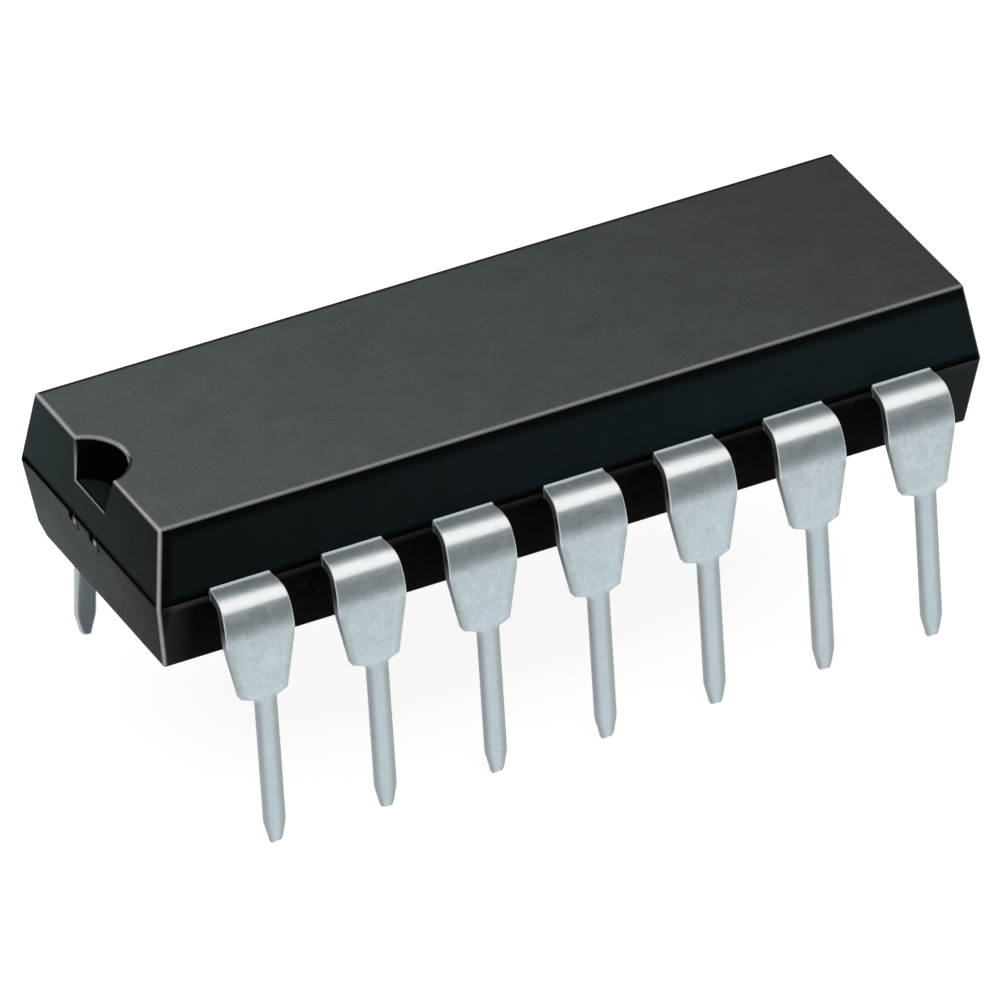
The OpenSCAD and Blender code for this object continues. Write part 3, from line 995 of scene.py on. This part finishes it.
def mottled(look, pin):
    """Tin with light and dark crystals, smoother on the pins, with painted shade that dims it towards
    the far end.
    """
    mottle = look.clouds(12, 3, rough=0.65)
    mottle = look.mix(look.times(pin, 0.6), mottle, EVEN_MOTTLE)
    tin = look.mix(mottle, TIN_DARK, TIN_LIGHT)
    tin = look.mix(look.times(look.clouds(1.6, 2, spread=0.15), 0.25), tin, TIN_PATCH)
    # Painted shade: the tin dims towards the far end
    tin = look.vector("SCALE", tin, look.remap(look.axis("X"), -BODY_L / 2, BODY_L / 2, 1.0, 0.94))
    specks = look.remap(look.noise(9, 1), 0.76, 0.82, 0.0, 0.6)
    return look.mix(specks, tin, TIN_SPECK)


def with_painted_bend_and_neck(look, tin, over, from_body, neck):
    """A painted highlight tint over the top of the bend, and brushed streaks with a painted dark
    reflection of the body across the neck.
    """
    # Painted highlight tint over the top of the bend
    bend_top = look.times(
        look.remap(over, *BEND_TOP_SPAN, 0.0, 0.8),
        look.remap(from_body, *BEND_START_SPAN),
    )
    tin = look.mix(bend_top, tin, BEND_HIGHLIGHT_TINT)
    # Brushed streaks, and a painted dark reflection of the body that fades away from it
    brushed = look.clouds(16, 3, 0.16, 0.42, spread=0.15, rough=0.6, stretch=(0.5, 1, 1))
    return look.mix(look.times(neck, brushed), tin, NECK_STREAKS_AND_PAINTED_REFLECTION)


def with_painted_side_reflections(look, tin, over, from_body, high_side, rim_highlight):
    """The sheet's cut sides with painted reflections, dark where the body shows in them on the bend and
    paler below it, with painted highlights on the rims.
    """
    # Painted reflections on the cut sides: the body dark in them on the bend, paler lower down
    shade = look.mix(look.remap(from_body, *DARK_SIDE_SPAN), SIDE_BY_BODY, SIDE_ON_BEND)
    shade = look.mix(look.remap(over, *LIT_SIDE_SPAN), shade, SIDE_LIT)
    tin = look.mix(high_side, tin, shade)
    # Painted highlights on the rims and at the root
    tin = look.mix(rim_highlight, tin, RIM_HIGHLIGHT_COLOUR)
    low_side = look.minus(look.attribute("side"), high_side)
    return look.mix(look.times(low_side, 0.45), tin, SIDE_LOW)


def painted_edge_shade(look, tin, pin, high):
    """Painted shade along the long edges: soft on the front row's pins, narrow on the legs."""
    across = look.attribute("across")
    # Painted shade at the edges of the front row's pins, about a middle shifted towards the light
    off_light = look.size(look.add(across, LIGHT_SHIFT))
    pin_edge = look.times(pin, look.remap(off_light, *PIN_EDGE_SPAN, 0.05, 0.6, smooth=True))
    front_row = look.remap(look.axis("Y"), -1.0, 1.0, 1.0, 0.1)
    tin = look.mix(look.times(pin_edge, front_row), tin, PIN_EDGE_SHADE)
    leg = look.minus(look.minus(1.0, pin), high)
    # Painted shade along the edges of the legs
    leg_edge = look.remap(look.size(across), *LEG_EDGE_SPAN, 0.0, 0.4, smooth=True)
    return look.mix(look.times(leg_edge, leg), tin, LEG_EDGE_SHADE)


def tinned_lead():
    """Satin tin over copper alloy, with painted highlights, reflections and shade on the bend, the neck,
    the cut sides and the edges.
    """
    look = Look("tinned_lead")
    pin = look.attribute("pin")
    high = look.attribute("high")
    high_side = look.times(look.attribute("side"), high)
    over = look.minus(look.axis("Z"), PARTING_Z)
    from_body = look.minus(look.size(look.axis("Y")), BODY_W / 2)
    neck = look.remap(from_body, *NECK_SPAN)
    # A painted highlight along the root where the lead leaves the body, and on the upper rims
    root = look.remap(from_body, *ROOT_SPAN, 0.0, 0.55)
    rim_highlight = look.larger(look.times(look.attribute("rim"), high), root)

    tin = with_painted_bend_and_neck(look, mottled(look, pin), over, from_body, neck)
    tin = with_painted_side_reflections(look, tin, over, from_body, high_side, rim_highlight)
    look.colour(painted_edge_shade(look, tin, pin, high))
    # Less metal where the painted highlight is, so that it stays bright
    look.metallic(look.minus(look.remap(high_side, 0.0, 1.0, 0.75, 0.9), look.times(rim_highlight, 0.5)))
    rough = look.larger(look.times(neck, 0.12), look.times(high_side, 0.15))
    look.roughness(look.add(look.clouds(5, 3, 0.3, 0.4), rough))
    look.bump(look.noise(16, 3), 0.003)
    return look.material


def copper_alloy():
    """Bare sheet of the leadframe, smeared with compound round a fleck where its bars are cut off."""
    look = Look("copper_alloy", Specular_IOR_Level=0.03)
    sheet = look.mix(look.clouds(6, 3, spread=0.15), COPPER_BRIGHT, COPPER_DULL)
    cut_end = look.remap(look.size(look.axis("X")), *CUT_END_SPAN)
    over = look.minus(look.axis("Z"), PARTING_Z)
    off_middle = look.size(look.minus(look.axis("Y"), PRONG_OFFSET))
    off_prong = look.size(look.minus(off_middle, PRONG_PITCH / 2))
    beside = look.remap(off_prong, FLECK_HALF_W, FLECK_HALF_W + FLECK_BLUR)
    above = look.remap(over, -FLECK_TOP, FLECK_BLUR - FLECK_TOP)
    below = look.remap(over, -FLECK_BOTTOM, -FLECK_BOTTOM - FLECK_BLUR)
    smeared = look.times(cut_end, look.larger(look.larger(beside, above), below))
    # The smear takes the lower end's colour, with the painted light in it
    look.colour(look.mix(smeared, sheet, END_LOW_PAINTED_LIGHT_TONE))
    look.metallic(look.minus(1.0, smeared))
    look.roughness(look.clouds(12, 2, 0.3, 0.5))
    return look.material


def silver_epoxy():
    """Die attach paste with silver flakes."""
    look = Look("silver_epoxy")
    flakes = look.clouds(40, 2, spread=0.1)
    look.colour(look.mix(flakes, EPOXY_DARK, EPOXY_LIGHT))
    look.roughness(look.remap(flakes, 0.0, 1.0, 0.6, 0.35))
    return look.material


def silicon():
    """Polished silicon with a faint violet oxide cloud."""
    look = Look("silicon", Metallic=0.6)
    oxide = look.clouds(2.5, 2)
    look.colour(look.mix(oxide, SILICON_BLUE, SILICON_VIOLET))
    look.roughness(look.remap(oxide, 0.0, 1.0, 0.1, 0.2))
    return look.material


def gold_wire():
    """Drawn gold."""
    look = Look("gold_wire", Metallic=1.0)
    drawn = look.clouds(60, 2)
    look.colour(look.mix(drawn, GOLD_DEEP, GOLD_PALE))
    look.roughness(look.remap(drawn, 0.0, 1.0, 0.18, 0.3))
    return look.material


def dress(made, material):
    made.data.materials.clear()
    made.data.materials.append(material)


# The floor and the cards, lamp and camera of the studio

FLOOR_SIZE = 2000
FLOOR_WHITE = (0.85, 0.85, 0.85, 1)
FLOOR_SHADE = (0.3, 0.3, 0.3, 1)
FLOOR_GLOW = 0.84

# The white card round the object, as the dark table leaves it open: its reach in front and on the right,
# its reach behind and on the left, and the height of the dark table
CARD_FRONT = 14
CARD_BACK = 5
TABLE_GAP = 0.2

# The shade under the body, from this distance behind its middle to this one beyond its back wall, and
# its height
SHADE_START = 0.4
SHADE_REACH = 1
SHADE_GAP = 0.01

# The black board in front: its distance, half its width and its height
FLAG_AWAY = 60
FLAG_HALF_W = 180
FLAG_TOP = 38

# How strongly the cards glow in reflections, and the light of the sky and of the square lamp
BLACK_GLOW = 0.03
SHADE_GLOW = 0.1
SKY_LIGHT = 0.75
LAMP_PLACE = (25, -40, 150)
LAMP_SIZE = 280
LAMP_POWER = 0.2


def square(half):
    return [(-half, -half), (half, -half), (half, half), (-half, half)]


def flat_sheet(name, corners):
    """A sheet with one face, through millimetre corners."""
    bm = bmesh.new()
    bm.faces.new([bm.verts.new(corner) for corner in corners])
    made = mesh_object(name, bm)
    made.data.transform(Matrix.Scale(MM, 4))
    return made


def bare_material(name):
    """A material with nothing but its output node."""
    material = bpy.data.materials.new(name)
    material.use_nodes = True
    tree = material.node_tree
    tree.nodes.clear()
    return material, tree, tree.nodes.new("ShaderNodeOutputMaterial")


def diffuse(tree, colour):
    node = tree.nodes.new("ShaderNodeBsdfDiffuse")
    node.inputs["Color"].default_value = colour
    return node.outputs[0]


def emission(tree, strength):
    node = tree.nodes.new("ShaderNodeEmission")
    node.inputs["Strength"].default_value = strength
    return node.outputs[0]


def floor_paper():
    """White paper that looks brighter, with a faint shadow, to the camera and in reflections."""
    material, tree, out = bare_material("floor")
    shown = tree.nodes.new("ShaderNodeAddShader")
    tree.links.new(diffuse(tree, FLOOR_SHADE), shown.inputs[0])
    tree.links.new(emission(tree, FLOOR_GLOW), shown.inputs[1])
    path = tree.nodes.new("ShaderNodeLightPath")
    seen = path.outputs["Is Camera Ray"]
    for name in ("Is Glossy Ray", "Is Transmission Ray"):
        either = tree.nodes.new("ShaderNodeMath")
        either.operation = "MAXIMUM"
        tree.links.new(seen, either.inputs[0])
        tree.links.new(path.outputs[name], either.inputs[1])
        seen = either.outputs[0]
    choose = tree.nodes.new("ShaderNodeMixShader")
    tree.links.new(seen, choose.inputs[0])
    tree.links.new(diffuse(tree, FLOOR_WHITE), choose.inputs[1])
    tree.links.new(shown.outputs[0], choose.inputs[2])
    tree.links.new(choose.outputs[0], out.inputs["Surface"])
    return material


def floor():
    made = flat_sheet("floor", [(x, y, 0) for x, y in square(FLOOR_SIZE / 2)])
    dress(made, floor_paper())
    return made


def reflected_card(made, strength):
    """Makes a sheet glow a little, and show in reflections alone."""
    material, tree, out = bare_material(made.name)
    tree.links.new(emission(tree, strength), out.inputs["Surface"])
    dress(made, material)
    for ray in ("camera", "diffuse", "transmission", "volume_scatter", "shadow"):
        setattr(made, "visible_" + ray, False)
    return made


def dark_table():
    """Black cloth round the object beyond the white card it stands on."""
    bm = bmesh.new()
    low, high = (corner / MM for corner in cad_box)
    left, right = low.x - CARD_BACK, high.x + CARD_FRONT
    front, back = low.y - CARD_FRONT, high.y + CARD_BACK
    inner = [(left, front), (right, front), (right, back), (left, back)]
    outlines = (square(FLOOR_SIZE / 2), inner)
    rings = [[bm.verts.new((x, y, TABLE_GAP)) for x, y in outline] for outline in outlines]
    for j in range(4):
        k = (j + 1) % 4
        bm.faces.new((rings[0][j], rings[0][k], rings[1][k], rings[1][j]))
    made = mesh_object("dark_table", bm)
    made.data.transform(Matrix.Scale(MM, 4))
    return reflected_card(made, BLACK_GLOW)


def front_flag():
    """A black board standing in front."""
    corners = [(-FLAG_HALF_W, 0), (FLAG_HALF_W, 0), (FLAG_HALF_W, FLAG_TOP), (-FLAG_HALF_W, FLAG_TOP)]
    made = flat_sheet("front_flag", [(x, -FLAG_AWAY, z) for x, z in corners])
    return reflected_card(made, BLACK_GLOW)


def shaded_card():
    """The shade under the back of the body."""
    x = BODY_L / 2
    front, back = SHADE_START, BODY_W / 2 + SHADE_REACH
    corners = [(-x, front), (x, front), (x, back), (-x, back)]
    made = flat_sheet("shaded_card", [(cx, cy, SHADE_GAP) for cx, cy in corners])
    return reflected_card(made, SHADE_GLOW)


def softbox():
    """A square lamp that faces the middle of the body."""
    data = bpy.data.lights.new("softbox", "AREA")
    data.shape = "SQUARE"
    data.size = LAMP_SIZE * MM
    data.energy = LAMP_POWER
    made = bpy.data.objects.new("softbox", data)
    bpy.context.scene.collection.objects.link(made)
    aim = Vector((0, 0, PARTING_Z)) - Vector(LAMP_PLACE)
    made.location = Vector(LAMP_PLACE) * MM
    made.rotation_mode = "QUATERNION"
    made.rotation_quaternion = aim.to_track_quat("-Z", "Y")


def sky():
    world = bpy.data.worlds.new("studio")
    bpy.context.scene.world = world
    world.use_nodes = True
    background = world.node_tree.nodes["Background"]
    background.inputs["Color"].default_value = (1, 1, 1, 1)
    background.inputs["Strength"].default_value = SKY_LIGHT


def camera():
    data = bpy.data.cameras.new("camera")
    data.sensor_fit = "HORIZONTAL"
    data.sensor_width = SENSOR_W
    data.lens = FOCAL_PIXELS / IMAGE_PIXELS * SENSOR_W
    data.clip_start = CLIP_NEAR
    data.clip_end = CLIP_FAR
    made = bpy.data.objects.new("camera", data)
    bpy.context.scene.collection.objects.link(made)
    made.location = (CAMERA_FROM_PARTING + Vector((0, 0, PARTING_Z))) * MM
    made.rotation_mode = "XYZ"
    made.rotation_euler = CAMERA_TURN
    bpy.context.scene.camera = made


def main():
    bpy.context.scene.view_settings.view_transform = "Standard"

    body = moulded_body()
    dress(body, mould_compound())
    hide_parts("package_body")
    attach(body, "root")

    tin = tinned_lead()
    for number, node in enumerate(LEADS, 1):
        lead = lead_piece(f"formed_{node}", node, number)
        dress(lead, tin)
        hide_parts(node)
        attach(lead, "root")

    gold = gold_wire()
    inner = {"die_paddle": copper_alloy(), "die_attach": silver_epoxy(), "silicon_die": silicon()}
    for node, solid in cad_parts.items():
        if node.startswith("bond_wire_"):
            dress(solid, gold)
        elif node in inner:
            dress(solid, inner[node])

    floor()
    dark_table()
    front_flag()
    shaded_card()
    sky()
    softbox()
    camera()


main()
